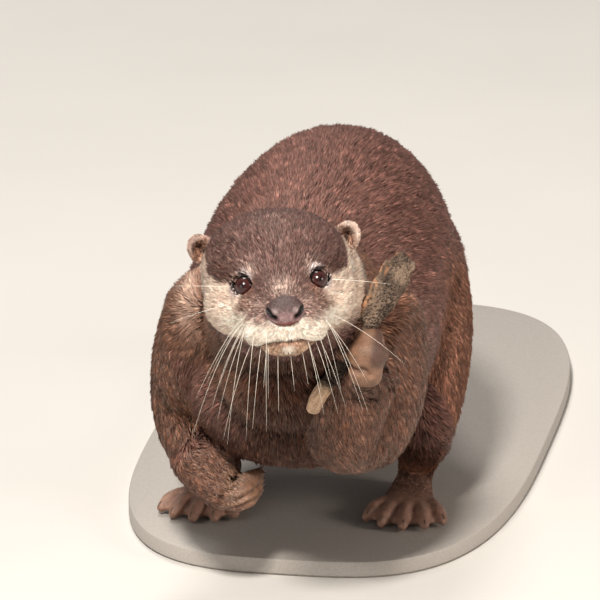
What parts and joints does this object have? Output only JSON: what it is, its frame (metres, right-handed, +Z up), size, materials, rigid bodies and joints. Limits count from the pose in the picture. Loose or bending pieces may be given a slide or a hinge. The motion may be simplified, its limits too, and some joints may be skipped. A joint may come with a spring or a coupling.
{
  "type": "otter",
  "caption": "Life-size still model of an Asian small-clawed otter with arched back, one forepaw lifted and the other clasping a short stick, on a plain flat base.",
  "frame": {"origin": "centre of the bounding box at the level of the base's underside", "axes": "+Z up, the otter faces -Y, +X is its left side"},
  "size_m": [0.232, 0.62, 0.2351],
  "materials": {
    "coat": "short dense fur, dark brown above, cream on cheeks, muzzle and throat",
    "bare_skin": "fine-grained bare skin, slightly moist",
    "nose_skin": "moist pebbled skin",
    "eye": "wet glossy dark brown",
    "driftwood": "weathered bark with lighter broken ends",
    "stand": "plain matt painted board"
  },
  "bodies": {
    "root": {"head": "coat", "lower_jaw": "coat", "neck": "coat", "chest": "coat", "belly": "coat", "rump": "coat", "tail_base": "coat", "tail_middle": "coat", "tail_tip": "coat", "ear_left": "coat", "ear_right": "coat", "upper_arm_left": "coat", "upper_arm_right": "coat", "forearm_left": "coat", "forearm_right": "coat", "thigh_left": "coat", "thigh_right": "coat", "shank_left": "coat", "shank_right": "coat", "hand_left": "bare_skin", "hand_right": "bare_skin", "foot_left": "bare_skin", "foot_right": "bare_skin", "nose": "nose_skin", "eye_left": "eye", "eye_right": "eye", "stick": "driftwood", "stand_base": "stand"}
  },
  "joints": []
}
